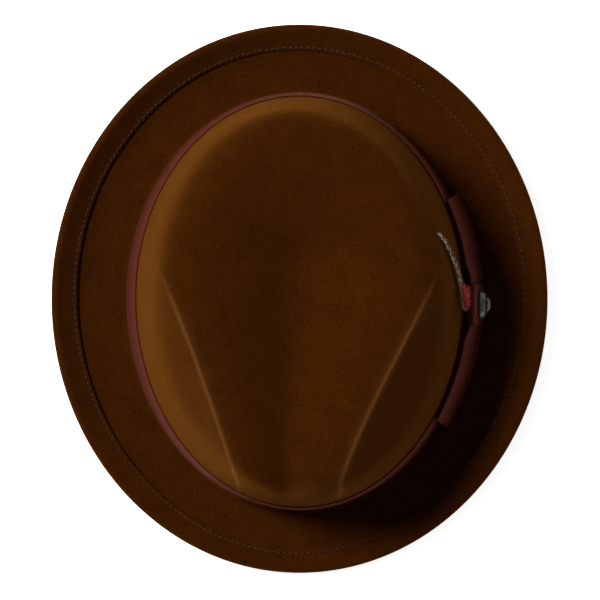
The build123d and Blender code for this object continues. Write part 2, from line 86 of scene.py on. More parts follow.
FELT = 2.2
HALF_WIDTH = 86.9
HALF_LENGTH = 104.3
CROWN_Y = -1.3
CROWN_HEIGHT = 105.0
EGG = 0.012
SIDE_LEAN = 0.19
END_LEAN = 0.115
RIM_ROUNDING = 14.0
FALL_TO_BACK = 0.045
DENT_DEPTH = 20.0
DENT_FRONT_SHARE = 0.45
DENT_POINT = 0.2
DENT_HALF_WIDTH = 66.0
DENT_FRONT_HALF_WIDTH = 24.0
DENT_MIDDLE_Y = 17.0
DENT_BACK_Y = 87.0
DENT_FRONT_Y = -84.0
DENT_FLARE = 1.15
DENT_SKEW = 5.0
PINCH_DEPTH = 23.0
PINCH_REACH = 19.0
PINCH_RIDGE = 2.2
PINCH_MIDDLE_Y = -41.0
PINCH_HALF_LENGTH = 71.0
CORE_Z = 45.0

BRIM_HALF_WIDTH = 123.0
BRIM_HALF_LENGTH = 136.2
BREAK_RADIUS = 3.6
BRIM_FLAT = 11.0
CURL_POWER = 2.1
CURL_SIDE = 11.5
CURL_BACK = 10.0
CURL_FRONT = 3.2
WELT_WIDTH = 9.6
WELT = 2.0
FOLD_RADIUS = (FELT + WELT) / 2

SNUG = 0.2
GROSGRAIN = 0.5
LINING_INSET = 2.5
SATIN = 0.3
LINING_DROP = 1.1
SWEATBAND_INSET = 3.1
LEATHER = 1.0
SWEATBAND_FACE = SWEATBAND_INSET + LEATHER


def smooth_step(value, start, end):
    share = np.clip((value - start) / (end - start), 0, 1)
    return share * share * (3 - 2 * share)


def dent_half_width(y):
    share = np.clip((y - DENT_FRONT_Y) / (DENT_MIDDLE_Y - DENT_FRONT_Y), 0, None)
    flare = (DENT_HALF_WIDTH - DENT_FRONT_HALF_WIDTH) * share**DENT_FLARE
    return np.minimum(DENT_FRONT_HALF_WIDTH + flare, DENT_HALF_WIDTH)


def dent_depth(across, y):
    along = np.clip(y - DENT_MIDDLE_Y, 0, None) / (DENT_BACK_Y - DENT_MIDDLE_Y)
    reach = np.sqrt((across / dent_half_width(y)) ** 2 + along**2 + DENT_POINT**2)
    shape = np.clip(1 - reach, 0, None) ** 2 / (1 - DENT_POINT) ** 2
    front = DENT_FRONT_SHARE + (1 - DENT_FRONT_SHARE) * smooth_step(y, DENT_FRONT_Y, 0.0)
    return DENT_DEPTH * front * shape


def pinch_depth(across, y):
    beyond = np.clip(across - dent_half_width(y), 0, None)
    rounded = np.hypot(beyond, PINCH_RIDGE) - PINCH_RIDGE
    fade = np.clip(1 - ((y - PINCH_MIDDLE_Y) / PINCH_HALF_LENGTH) ** 2, 0, None)
    return PINCH_DEPTH * fade * (1 - np.exp(-rounded / PINCH_REACH))


def crown_field(p):
    """Roughly the distance outside the felt."""
    x, y, z = p[..., 0], p[..., 1] - CROWN_Y, p[..., 2]
    half_width = (HALF_WIDTH - SIDE_LEAN * z) * (1 + EGG * y / HALF_LENGTH)
    share = np.maximum(1e-6, np.hypot(x / half_width, y / (HALF_LENGTH - END_LEAN * z)))
    wall = np.hypot(x, y) * (1 - 1 / share)
    across = np.abs(x + DENT_SKEW * smooth_step(y, DENT_MIDDLE_Y, DENT_FRONT_Y))
    fall = FALL_TO_BACK * np.clip(y, 0, None)
    top = z - CROWN_HEIGHT + fall + dent_depth(across, y) + pinch_depth(across, y)
    return (wall + top + np.hypot(wall - top, RIM_ROUNDING)) / 2


def ridge_highlight_mask(p):
    """1 on the two creases of the crown, where the felt gets a painted highlight, and 0 away from them."""
    x, y, z = p[:, 0], p[:, 1] - CROWN_Y, p[:, 2]
    across = np.abs(x + DENT_SKEW * smooth_step(y, DENT_MIDDLE_Y, DENT_FRONT_Y))
    off = across - dent_half_width(y)
    line = np.exp(-((off / 0.9) ** 2)) + 0.2 * np.exp(-((off / 3.5) ** 2))
    return line * smooth_step(y, 24.0, -12.0) * smooth_step(z, CORE_Z, CORE_Z + 25)


def unit(v):
    return v / np.maximum(1e-9, np.linalg.norm(v, axis=-1, keepdims=True))


def on_crown(start, direction, outset=0.0, nudge=0.6):
    """Where rays leave the crown, moved outset out along its normal."""
    near = np.zeros(direction.shape[:-1])
    far = near + 160.0
    for _ in range(30):
        middle = (near + far) / 2
        inside = crown_field(start + direction * middle[..., None]) < 0
        near, far = np.where(inside, middle, near), np.where(inside, far, middle)
    point = start + direction * near[..., None]
    steps = np.eye(3) * nudge
    slope = np.stack([crown_field(point + n) - crown_field(point - n) for n in steps], -1)
    return point + unit(slope) * (np.zeros(point.shape[:-1]) + outset)[..., None]


def heading(t):
    return unit(np.stack([HALF_WIDTH * np.cos(t), HALF_LENGTH * np.sin(t), 0 * t], -1))


def outward(t):
    return unit(np.stack([np.cos(t) / HALF_WIDTH, np.sin(t) / HALF_LENGTH, 0 * t], -1))


def wall_point(t, z, outset=0.0):
    t, z, outset = np.broadcast_arrays(np.asarray(t, float), z, outset)
    start = np.stack([0 * t, 0 * t + CROWN_Y, z], -1)
    return on_crown(start, heading(t)) + outward(t) * np.asarray(outset)[..., None]


def dome_point(t, rise, outset=0.0, nudge=0.6):
    t = np.asarray(t, float)
    direction = heading(t) * math.cos(math.radians(rise)) + UP * math.sin(math.radians(rise))
    return on_crown(np.array([0, CROWN_Y, CORE_Z]), direction, outset, nudge)


def side_point(y, rise, outset):
    """A point over the wearer's left side of the crown."""
    y, rise = np.broadcast_arrays(np.asarray(y, float), np.asarray(rise, float))
    rise = np.radians(rise)
    start = np.stack([0 * y, y, 0 * y + CORE_Z], -1)
    return on_crown(start, np.stack([np.cos(rise), 0 * y, np.sin(rise)], -1), outset)


# ---------------------------------------------------------------- meshes

def piece(name, verts, faces, material, body="hat", smooth=True):
    """A mesh object from millimetre points."""
    mesh = bpy.data.meshes.new(name)
    corners = faces.tolist() if isinstance(faces, np.ndarray) else faces
    mesh.from_pydata((np.asarray(verts) * MM).tolist(), [], corners)
    mesh.polygons.foreach_set("use_smooth", [smooth] * len(mesh.polygons))
    mesh.validate()
    obj = bpy.data.objects.new(name, mesh)
    bpy.context.scene.collection.objects.link(obj)
    obj.data.materials.append(material)
    if body:
        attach(obj, body)
    return obj


def grid_faces(rows, columns, closed_columns=True, closed_rows=False, start=0):
    """Quads over rows x columns points."""
    i = np.arange(rows if closed_rows else rows - 1)[:, None]
    j = np.arange(columns if closed_columns else columns - 1)[None, :]
    k, l = (i + 1) % rows, (j + 1) % columns
    quads = np.stack([i * columns + j, i * columns + l, k * columns + l, k * columns + j], -1)
    return quads.reshape(-1, 4) + start


def lathe_stack(rings, pole_first=None, pole_last=None):
    """Points and faces of a stack of closed rings, with a fan at either end."""
    rows, columns = len(rings), len(rings[0])
    verts = [p for p in np.concatenate(rings)]
    faces = grid_faces(rows, columns).tolist()
    for pole, row, flip in ((pole_first, 0, True), (pole_last, rows - 1, False)):
        if pole is None:
            continue
        index = len(verts)
        verts.append(pole)
        for j in range(columns):
            a, b = row * columns + j, row * columns + (j + 1) % columns
            faces.append([b, a, index] if flip else [a, b, index])
    return np.array(verts), faces


def thick_sheet(surface, thickness, closed=False):
    """Points and faces of a closed sheet round a grid of middle points."""
    rows, columns = surface.shape[:2]
    du = np.gradient(surface, axis=0)
    if closed:
        du = (np.roll(surface, -1, 0) - np.roll(surface, 1, 0)) / 2
    dv = np.gradient(surface, axis=1)
    normal = unit(np.cross(du, dv))
    verts, faces = [], []
    half = np.asarray(thickness) / 2
    top = surface + normal * half[..., None] if np.ndim(half) else surface + normal * half
    bottom = surface - normal * half[..., None] if np.ndim(half) else surface - normal * half
    verts = np.concatenate([top.reshape(-1, 3), bottom.reshape(-1, 3)])
    count = rows * columns
    up = grid_faces(rows, columns, False, closed)
    down = up[:, ::-1] + count
    faces = [up, down]
    steps = rows if closed else rows - 1
    for column in (0, columns - 1):
        i = np.arange(steps)
        a, b = i * columns + column, (i + 1) % rows * columns + column
        quads = np.stack([a, b, b + count, a + count], -1)
        faces.append(quads[:, ::-1] if column else quads)
    if not closed:
        for row in (0, rows - 1):
            j = np.arange(columns - 1)
            a, b = row * columns + j, row * columns + j + 1
            quads = np.stack([a, b, b + count, a + count], -1)
            faces.append(quads if row else quads[:, ::-1])
    return verts, np.concatenate(faces)


def threads(points, ups, lengths, radius, sides=6):
    """Short arched threads: points and directions are one per stitch."""
    verts, faces = [], []
    for point, along, up, length in zip(points, ups[0], ups[1], lengths):
        across = np.cross(up, along)
        start = len(verts)
        for s in np.linspace(-1, 1, 7):
            centre = point + along * s * length / 2 - up * (s**4) * radius * 1.3
            r = radius * math.sqrt(max(0.02, 1 - s**6))
            for k in range(sides):
                a = 2 * math.pi * k / sides
                verts.append(centre + (across * math.cos(a) + up * math.sin(a)) * r)
        faces += grid_faces(7, sides, start=start).tolist()
        faces.append([start + k for k in range(sides)][::-1])
        faces.append([start + 6 * sides + k for k in range(sides)])
    return np.array(verts), faces


# ---------------------------------------------------------------- materials

class Nodes:
    """A small material graph."""

    def __init__(self, name):
        self.material = bpy.data.materials.new(name)
        self.material.use_nodes = True
        self.tree = self.material.node_tree
        self.shader = self.tree.nodes["Principled BSDF"]
        self.coordinates = self.tree.nodes.new("ShaderNodeTexCoord").outputs["Object"]

    def add(self, kind, **values):
        node = self.tree.nodes.new(kind)
        for key, value in values.items():
            if key in node.inputs:
                self.put(node.inputs[key], value)
            else:
                setattr(node, key, value)
        return node

    def put(self, socket, value):
        if isinstance(value, bpy.types.NodeSocket):
            self.tree.links.new(value, socket)
        else:
            socket.default_value = value

    def set(self, **values):
        for key, value in values.items():
            self.put(self.shader.inputs[key.replace("_", " ")], value)

    def noise(self, scale, detail=3.0, vector=None, roughness=0.5):
        node = self.add("ShaderNodeTexNoise", Scale=scale, Detail=detail, Roughness=roughness)
        self.put(node.inputs["Vector"], vector or self.coordinates)
        return node.outputs["Fac"]

    def ramp(self, fac, stops):
        node = self.add("ShaderNodeValToRGB")
        self.put(node.inputs["Fac"], fac)
        elements = node.color_ramp.elements
        while len(elements) < len(stops):
            elements.new(0.5)
        for element, (position, colour) in zip(elements, stops):
            element.position = position
            element.color = (*colour, 1)
        return node.outputs["Color"]

    def maths(self, operation, a, b=0.5):
        node = self.add("ShaderNodeMath", operation=operation)
        self.put(node.inputs[0], a)
        self.put(node.inputs[1], b)
        return node.outputs[0]

    def mix(self, fac, a, b, kind="MIX"):
        node = self.add("ShaderNodeMix", data_type="RGBA", blend_type=kind)
        self.put(node.inputs["Factor"], fac)
        self.put(node.inputs[6], a if isinstance(a, bpy.types.NodeSocket) else (*a, 1))
        self.put(node.inputs[7], b if isinstance(b, bpy.types.NodeSocket) else (*b, 1))
        return node.outputs[2]

    def scaled(self, scale):
        node = self.add("ShaderNodeMapping")
        self.put(node.inputs["Vector"], self.coordinates)
        node.inputs["Scale"].default_value = scale
        return node.outputs["Vector"]

    def attribute(self, name):
        return self.add("ShaderNodeAttribute", attribute_name=name).outputs["Fac"]

    def bump(self, height, strength, distance):
        node = self.add("ShaderNodeBump", Strength=strength, Distance=distance)
        self.put(node.inputs["Height"], height)
        previous = self.shader.inputs["Normal"].links
        if previous:
            self.put(node.inputs["Normal"], previous[0].from_socket)
        self.put(self.shader.inputs["Normal"], node.outputs["Normal"])


def felt_material():
    m = Nodes("napped_felt")
    mottle = m.noise(90, 4, roughness=0.6)
    fibre = m.ramp(m.noise(1100, 4, roughness=0.75), [(0.4, (0,) * 3), (0.6, (1,) * 3)])
    hair = m.noise(1, 5, vector=m.scaled((700, 2600, 1500)), roughness=0.7)
    base = m.ramp(mottle, [(0.3, FELT_DARK), (0.7, FELT_LIGHT)])
    base = m.mix(m.maths("MULTIPLY", fibre, 0.55), base, FELT_FIBRE)
    # Painted highlight: lightens the felt along the crown's two creases.
    base = m.mix(m.maths("MULTIPLY", m.attribute("ridge"), 0.45), base, FELT_RIDGE_HIGHLIGHT)
    m.set(Base_Color=base, Roughness=0.92)
    m.shader.inputs["Specular IOR Level"].default_value = 0.02
    m.shader.inputs["IOR"].default_value = 1.1
    m.shader.inputs["Sheen Weight"].default_value = SHEEN
    m.shader.inputs["Sheen Roughness"].default_value = 0.42
    m.shader.inputs["Sheen Tint"].default_value = (*SHEEN_TINT, 1)
    m.bump(fibre, 0.5, 0.0005)
    m.bump(hair, 0.25, 0.0003)
    return m.material


def thread_material(name, dark, light):
    m = Nodes(name)
    wave = m.add("ShaderNodeTexWave", Scale=900.0, Distortion=1.5)
    m.put(wave.inputs["Vector"], m.coordinates)
    m.set(Base_Color=m.ramp(wave.outputs["Fac"], [(0.2, dark), (0.8, light)]), Roughness=0.8)
    m.bump(wave.outputs["Fac"], 0.5, 0.0001)
    return m.material


def ribbon_material(name, dark, light):
    """Grosgrain: the ribs are in the mesh, the fine warp is here. The colour is darker in the rib grooves as
    painted shade, and darker towards both edges.
    """
    m = Nodes(name)
    rib = m.attribute("rib")
    wear = m.noise(160, 3)
    warp = m.noise(1, 2, vector=m.scaled((900, 900, 3200)))
    # Painted shade: dark in the rib grooves, light on the crests, and darker towards the edges where the ribs
    # are low.
    colour = m.ramp(rib, [(0.0, dark), (1.0, light)])
    colour = m.mix(m.maths("MULTIPLY", wear, 0.35), colour, dark)
    m.set(Base_Color=colour, Roughness=m.ramp(warp, [(0.3, (0.5,) * 3), (0.7, (0.66,) * 3)]))
    m.shader.inputs["Specular IOR Level"].default_value = 0.1
    m.shader.inputs["IOR"].default_value = 1.2
    m.shader.inputs["Sheen Weight"].default_value = 0.04
    m.shader.inputs["Sheen Tint"].default_value = (1.0, 0.4, 0.3, 1)
    m.shader.inputs["Sheen Roughness"].default_value = 0.5
    m.bump(warp, 0.25, 0.0001)
    return m.material


def metal_material(name, dark, light, roughness=0.35, brushed=(300, 3000, 3000)):
    m = Nodes(name)
    tarnish = m.noise(420, 5, roughness=0.65)
    brush = m.noise(1, 3, vector=m.scaled(brushed))
    m.set(Base_Color=m.ramp(tarnish, [(0.35, dark), (0.65, light)]), Metallic=1.0)
    m.set(Roughness=m.ramp(brush, [(0.3, (roughness - 0.1,) * 3), (0.7, (roughness + 0.12,) * 3)]))
    m.bump(brush, 0.12, 0.00005)
    return m.material


def feather_material(name, stops):
    m = Nodes(name)
    along = m.attribute("along")
    shift = m.maths("MULTIPLY", m.noise(500, 2), 0.08)
    m.set(Base_Color=m.ramp(m.maths("ADD", along, shift), stops), Roughness=0.6)
    m.shader.inputs["Sheen Weight"].default_value = 0.3
    m.bump(m.noise(4000, 2), 0.2, 0.00005)
    return m.material


def leather_material():
    m = Nodes("leather")
    grain = m.add("ShaderNodeTexVoronoi", Scale=1300.0)
    m.put(grain.inputs["Vector"], m.coordinates)
    stain = m.noise(45, 4)
    m.set(Base_Color=m.ramp(stain, [(0.3, (0.11, 0.045, 0.016)), (0.7, (0.2, 0.09, 0.035))]))
    m.set(Roughness=m.ramp(m.noise(200), [(0.3, (0.36,) * 3), (0.7, (0.5,) * 3)]))
    m.bump(grain.outputs["Distance"], 0.3, 0.0001)
    return m.material


def satin_material():
    m = Nodes("satin")
    weave = m.noise(1, 2, vector=m.scaled((5000, 600, 5000)))
    # Random lighter and darker blotches over the satin.
    blotch = m.noise(35, 3)
    m.set(Base_Color=m.ramp(blotch, [(0.3, (0.14, 0.07, 0.028)), (0.7, (0.25, 0.135, 0.06))]))
    m.set(Roughness=m.ramp(weave, [(0.3, (0.28,) * 3), (0.7, (0.42,) * 3)]))
    m.shader.inputs["Anisotropic"].default_value = 0.6
    m.shader.inputs["Sheen Weight"].default_value = 0.2
    m.bump(weave, 0.15, 0.00005)
    return m.material


def plain_material(name, dark, light, roughness, scale=400, transmission=0.0):
    m = Nodes(name)
    mottle = m.noise(scale, 3)
    m.set(Base_Color=m.ramp(mottle, [(0.3, dark), (0.7, light)]))
    m.set(Roughness=m.ramp(mottle, [(0.3, (roughness - 0.05,) * 3), (0.7, (roughness + 0.08,) * 3)]))
    m.shader.inputs["Transmission Weight"].default_value = transmission
    m.bump(mottle, 0.1, 0.00005)
    return m.material


FELT_DARK = (0.0165, 0.0036, 0.0003)
FELT_LIGHT = (0.025, 0.006, 0.0005)
FELT_FIBRE = (0.043, 0.0118, 0.0013)
# The colour of the painted highlight on the crown's creases.
FELT_RIDGE_HIGHLIGHT = (0.12, 0.046, 0.012)
SHEEN = 0.11
SHEEN_TINT = (1.0, 0.36, 0.05)

felt = felt_material()
felt_thread = thread_material("felt_thread", (0.01, 0.003, 0.0006), (0.024, 0.008, 0.0017))
ribbon_thread = thread_material("ribbon_thread", (0.05, 0.012, 0.008), (0.1, 0.03, 0.02))
grosgrain = ribbon_material("grosgrain", (0.034, 0.005, 0.0024), (0.088, 0.016, 0.0085))
# The pin's metal: real tarnish, and darkened overall as painted shade.
pin_metal = metal_material("tarnished_metal_painted_shade", (0.05, 0.05, 0.04), (0.15, 0.15, 0.12), 0.4)
pin_steel = metal_material("wire_steel", (0.4, 0.4, 0.4), (0.62, 0.62, 0.62), 0.25)
pin_brass = metal_material("brass", (0.45, 0.3, 0.1), (0.7, 0.5, 0.22), 0.3)
CREAM, BLACK = (0.62, 0.49, 0.32), (0.018, 0.011, 0.007)
BAR_STEP = 0.12
bars = []
for k in range(8):
    for place, tone in ((0.04, BLACK), (0.07, CREAM), (0.1, CREAM), (0.13, BLACK)):
        bars.append((place + k * BAR_STEP, tone))
striped = feather_material("barred_vane", bars)
RED_STOPS = [(0.0, (0.3, 0.003, 0.006)), (0.6, (0.66, 0.003, 0.008)), (1.0, (0.8, 0.02, 0.03))]
GOLD_STOPS = [(0.0, (0.3, 0.14, 0.02)), (0.5, (0.72, 0.45, 0.1)), (1.0, (0.85, 0.68, 0.3))]
red = feather_material("red_fluff", RED_STOPS)
gold = feather_material("gold_hackle", GOLD_STOPS)
quill = plain_material("quill", (0.3, 0.22, 0.13), (0.6, 0.5, 0.36), 0.4)
binding = thread_material("binding", (0.01, 0.006, 0.004), (0.04, 0.02, 0.012))
leather = leather_material()
reed = plain_material("reed", (0.12, 0.06, 0.025), (0.2, 0.11, 0.05), 0.4)
tape = ribbon_material("tape", (0.05, 0.018, 0.008), (0.12, 0.045, 0.02))
label = plain_material("label", (0.55, 0.5, 0.42), (0.72, 0.68, 0.6), 0.75, 2500)
satin = satin_material()
film = plain_material("clear_film", (0.8, 0.8, 0.78), (0.9, 0.9, 0.88), 0.12, 300, 0.92)


# ---------------------------------------------------------------- the felt

TURN = 2 * math.pi
T = np.linspace(0, TURN, 720, endpoint=False)


def ripple(t, seed, waves=5, base=2):
    """A gentle repeating wander round the hat, about -1 to 1."""
    rng = np.random.default_rng(seed)
    total = 0 * t
    for k in range(waves):
        total = total + np.sin((base + k) * t + rng.uniform(0, TURN)) / (1 + k)
    return total / 1.6


class Brim:
    """The brim's outline in every column at once."""

    def __init__(self, t):
        self.foot = wall_point(t, FELT + BREAK_RADIUS)
        edge = np.stack([BRIM_HALF_WIDTH * np.cos(t), BRIM_HALF_LENGTH * np.sin(t), self.foot[:, 2]], -1)
        self.way = unit(edge - self.foot)
        self.reach = np.linalg.norm(edge - self.foot, axis=-1) - FOLD_RADIUS
        self.welt = self.reach - WELT_WIDTH + 0.5 * ripple(t, 3, 7, 3)
        end = np.where(np.sin(t) > 0, CURL_BACK, CURL_FRONT)
        self.curl = CURL_SIDE * np.cos(t) ** 2 + end * np.sin(t) ** 2

    def share(self, along):
        return np.clip((along - BRIM_FLAT) / (self.reach - BRIM_FLAT), 0, None)

    def slope(self, along):
        return self.curl * CURL_POWER * self.share(along) ** (CURL_POWER - 1) / (self.reach - BRIM_FLAT)

    def normal(self, along):
        return unit(UP - self.way * self.slope(along)[:, None])

    def around_break(self, turn, radius):
        centre = self.foot + self.way * BREAK_RADIUS
        a = math.radians(turn)
        return centre - (self.way * math.cos(a) + UP * math.sin(a)) * radius

    def on_sheet(self, along, lift):
        along = np.broadcast_to(along, self.reach.shape)
        lift = np.broadcast_to(lift, self.reach.shape)
        height = FELT / 2 + self.curl * self.share(along) ** CURL_POWER
        level = np.stack([self.foot[:, 0], self.foot[:, 1], height], -1) + self.way * along[:, None]
        return level + self.normal(along) * lift[:, None]

    def on_fold(self, turn):
        a = math.radians(turn)
        tangent = unit(self.way + UP * self.slope(self.reach)[:, None])
        swing = self.normal(self.reach) * math.cos(a) + tangent * math.sin(a)
        return self.on_sheet(self.reach, WELT / 2) + swing * FOLD_RADIUS


brim = Brim(T)


def crown_rings(outset, rows, top_rise=89.0):
    """Rings from the foot of the wall to the middle of the top."""
    walls = [wall_point(T, z, outset) for z in np.linspace(FELT + BREAK_RADIUS, CORE_Z - 3, 16)]
    return walls + [dome_point(T, rise, outset) for rise in np.linspace(0, top_rise, rows)]


def brim_span(start, end, count, lift):
    return [brim.on_sheet(start + (end - start) * s, lift) for s in np.linspace(0, 1, count)]


outer = crown_rings(0, 170)
inner = crown_rings(-FELT, 60)
step = WELT * (0.72 + 0.28 * ripple(T, 11, 6, 2))
lifted = FELT / 2 + step
full = FELT / 2 + WELT
rings = outer[::-1]
rings += [brim.around_break(turn, BREAK_RADIUS) for turn in np.linspace(15, 90, 6)]
rings += brim_span(BREAK_RADIUS + 0.5, brim.welt + 0.9, 40, FELT / 2)
rings += [brim.on_sheet(brim.welt + 0.95, FELT / 2 + 0.25), brim.on_sheet(brim.welt + 0.1, FELT / 2 + 0.4)]
rings += [brim.on_sheet(brim.welt - 0.05, (FELT / 2 + lifted) / 2), brim.on_sheet(brim.welt + 0.12, lifted)]
for s in np.linspace(0.06, 0.94, 14):
    rise = lifted + (full - lifted) * smooth_step(s, 0, 1)
    rings.append(brim.on_sheet(brim.welt + (brim.reach - brim.welt) * s, rise))
rings += [brim.on_fold(turn) for turn in np.linspace(0, 180, 14)]
rings += brim_span(brim.reach - 0.8, BREAK_RADIUS, 30, -FELT / 2)
rings += [brim.around_break(turn, BREAK_RADIUS + FELT) for turn in (70, 50, 30)]
rings += inner
verts, faces = lathe_stack(rings, np.mean(outer[-1], 0), np.mean(inner[-1], 0))
felt_hat = piece("felt_hat", verts, faces, felt, body=None)
# Where the painted highlight lies on the felt.
ridge = ridge_highlight_mask(verts)
layer = felt_hat.data.attributes.new("ridge", "FLOAT", "POINT")
layer.data.foreach_set("value", ridge.astype(np.float32))
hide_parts("felt_body", "front_brim")
snap_y = JOINTS["brim_snap"]["pos_m"][1]
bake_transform(felt_hat)


def stitch_line(t, inside, lift):
    """Stitch places, directions and normals along the welt."""
    places = Brim(t)
    points = places.on_sheet(places.welt + inside, lift)
    later = Brim(t + 0.004)
    along = unit(later.on_sheet(later.welt + inside, lift) - points)
    return points, along, places.normal(places.welt + inside)


fine = np.linspace(0, TURN, 4000)
edge = np.stack([BRIM_HALF_WIDTH * np.cos(fine), BRIM_HALF_LENGTH * np.sin(fine)], -1)
length = np.concatenate([[0], np.cumsum(np.linalg.norm(np.diff(edge, axis=0), axis=-1))])
stitch_t = np.interp(np.linspace(0, length[-1], 250, endpoint=False), length, fine)
points, along, up = stitch_line(stitch_t, 1.7, full - 0.25)
for name, chosen, body in (
    ("welt_stitches_rear", points[:, 1] > snap_y / MM, "hat"),
    ("welt_stitches_front", points[:, 1] <= snap_y / MM, "brim_front"),
):
    verts, faces = threads(points[chosen], (along[chosen], up[chosen]), [2.1] * chosen.sum(), 0.26)
    stitches = piece(name, verts, faces, felt_thread, body=None)
    node = "brim_stitches_rear" if body == "hat" else "brim_stitches_front"
    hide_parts(node)
    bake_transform(stitches)


# ---------------------------------------------------------------- ribbon and bow

RIB = 0.9


def rib_attribute(obj, values):
    layer = obj.data.attributes.new("rib", "FLOAT", "POINT")
    layer.data.foreach_set("value", np.asarray(values, np.float32))


def ribbon_piece(
    name, path, body="hat", closed=False, material=grosgrain, thickness=GROSGRAIN
):
    """A ribbon whose grid path is (along, across, 3), with ribs across it and a firm selvedge."""
    steps = np.linalg.norm(np.diff(path[:, path.shape[1] // 2], axis=0), axis=-1)
    run = np.concatenate([[0], np.cumsum(steps)])
    wave = 0.5 + 0.5 * np.cos(TURN * run / RIB)
    across = np.linspace(0, 1, path.shape[1])
    selvedge = 1 - smooth_step(np.minimum(across, 1 - across), 0.0, 0.06)
    # rib is 1 on the crests, 0 in the grooves and low near the edges; the material paints shade in the
    # grooves from it.
    rib = wave[:, None] * (1 - 0.7 * selvedge[None, :])
    depth = thickness * (0.66 + 0.34 * rib)
    verts, faces = thick_sheet(path, depth, closed)
    obj = piece(name, verts, faces, material, body)
    rib_attribute(obj, np.concatenate([rib.ravel(), rib.ravel()]))
    return obj


band_low, band_high = low_high("ribbon_band")
BAND_BOTTOM, BAND_TOP = band_low[2], band_high[2]
band_t = np.linspace(0, TURN, 2400, endpoint=False)
band_z = np.linspace(BAND_BOTTOM, BAND_TOP, 15)
band_middle = SNUG + GROSGRAIN / 2
waver = 0.35 * ripple(band_t, 5, 6, 2)
band_path = np.stack([wall_point(band_t, z + waver * (z - BAND_BOTTOM) / 32, band_middle) for z in band_z], 1)
band = ribbon_piece("ribbon_band", band_path, closed=True)
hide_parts("ribbon_band")


def band_threads(count, z, outset, size, radius):
    t = (np.arange(count) + 0.5) * TURN / count
    points = wall_point(t, z, outset)
    return threads(points, (unit(np.cross(UP, outward(t))), outward(t)), [size] * count, radius)


verts, faces = band_threads(6, BAND_BOTTOM + 2, SNUG + GROSGRAIN + 0.02, 1.8, 0.14)
tacks = piece("ribbon_tacks", verts, faces, ribbon_thread)
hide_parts("ribbon_tacks")

BOW_END_DROP = 0.3


TOP_LEAN = 1.6


def bow_drop(t):
    return BOW_END_DROP * smooth_step(np.abs(t), 0.12, 0.5)


def top_lean(t):
    """How far the bow's upper edge leans in to the crown, away from the quill behind the knot."""
    return TOP_LEAN * smooth_step(np.abs(t), 0.12, 0.2)


def strip_path(t, low_out, high_out, low_z, high_z, rows=13, bulge=0.0, lean=1.0):
    """A grid along columns t and up the wall between two heights and outsets."""
    grid = []
    for s in np.linspace(0, 1, rows):
        out = low_out + (high_out - low_out) * s + bulge * math.sin(math.pi * s)
        grid.append(wall_point(t, low_z + (high_z - low_z) * s, out - bow_drop(t) - top_lean(t) * s * lean))
    return np.stack(grid, 1)


BOW_Z = (BAND_BOTTOM + 0.2, BAND_TOP - 0.2)
backing_t = np.radians(np.linspace(-35, 29, 700))
backing_path = strip_path(backing_t, 2.75, 2.5, BOW_Z[0] + 0.4, BOW_Z[1] - 0.4, lean=0.75)
backing = ribbon_piece("bow_backing", backing_path)
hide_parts("bow_backing")


def loop_path(start, end, count=620):
    """A flattened loop: out along the outer layer, round the end and back along the inner one."""
    share = np.linspace(0, 1, count)
    turn = 0.03
    out_leg = np.clip(share / (0.5 - turn), 0, 1)
    back_leg = np.clip((share - 0.5 - turn) / (0.5 - turn), 0, 1)
    bend = np.clip((share - 0.5 + turn) / (2 * turn), 0, 1)
    t = start + (end - start) * (out_leg - back_leg)
    nose = np.sin(math.pi * bend) * 0.012 * np.sign(end - start)
    level = 0.5 + 0.5 * np.cos(math.pi * bend)
    puff = 0.55 * np.sin(math.pi * np.clip(out_leg, 0, 1)) * (bend <= 0)
    return t + nose, level, puff


def loop_piece(node, start, end):
    t, level, puff = loop_path(math.radians(start), math.radians(end))
    low = 3.5 + 2.2 * level + puff * 0.35
    high = 3.4 + 0.6 * level + puff * 0.2
    obj = ribbon_piece(node, strip_path(t, low, high, *BOW_Z, bulge=0.15))
    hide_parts(node)


loop_piece("bow_rear_loop", 3.3, 29.2)
loop_piece("bow_front_loop", -4.9, -35.2)


def knot_piece():
    """The band wrapped round the middle of the bow: a closed ring, swept along the wall."""
    knot_low, knot_high = low_high("bow_knot")
    bottom, top = knot_low[2] + GROSGRAIN / 2, knot_high[2] - GROSGRAIN / 2
    ring = []
    near, far_low, far_high, corner = 2.65, 6.35, 5.85, 1.2
    corners = [(near, bottom), (far_low, bottom), (far_high, top), (near, top)]
    for k, (out, z) in enumerate(corners):
        centre = (out + corner * (1 if k in (0, 3) else -1), z + corner * (1 if k in (0, 1) else -1))
        for a in np.linspace(0, math.pi / 2, 7):
            angle = math.pi + k * math.pi / 2 + a
            ring.append((centre[0] + corner * math.cos(angle), centre[1] + corner * math.sin(angle)))
    ring = np.array(ring + [ring[0]])
    step = np.concatenate([[0], np.cumsum(np.linalg.norm(np.diff(ring, axis=0), axis=-1))])
    even = np.linspace(0, step[-1], 560, endpoint=False)
    outs, zs = np.interp(even, step, ring[:, 0]), np.interp(even, step, ring[:, 1])
    columns = np.radians(np.linspace(-6.6, 5.0, 17))
    grid = np.stack([wall_point(np.full_like(zs, t), zs, outs) for t in columns], 1)
    return ribbon_piece("bow_knot", grid, closed=True)


knot = knot_piece()
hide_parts("bow_knot")

tack_points, tack_dirs = [], []
for column in (-33.5, 27.5):
    for z in (12.4, 32.4):
        t = np.array([math.radians(column)])
        tack_points.append(wall_point(t, z, 1.05)[0])
        tack_dirs.append(outward(t)[0])
verts, faces = threads(tack_points, (tack_dirs, [UP] * 4), [0.55] * 4, 0.22)
bow_tacks = piece("bow_tacks", verts, faces, ribbon_thread)
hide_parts("bow_tacks")


# ---------------------------------------------------------------- pin

PIN_AT = np.array(JOINTS["pin_turn"]["pos_m"]) / MM
PIN_OUT = unit(np.array(JOINTS["pin_turn"]["axis"]))
PIN_SIDE = unit(np.cross(UP, PIN_OUT))
PIN_UP = np.cross(PIN_OUT, PIN_SIDE)


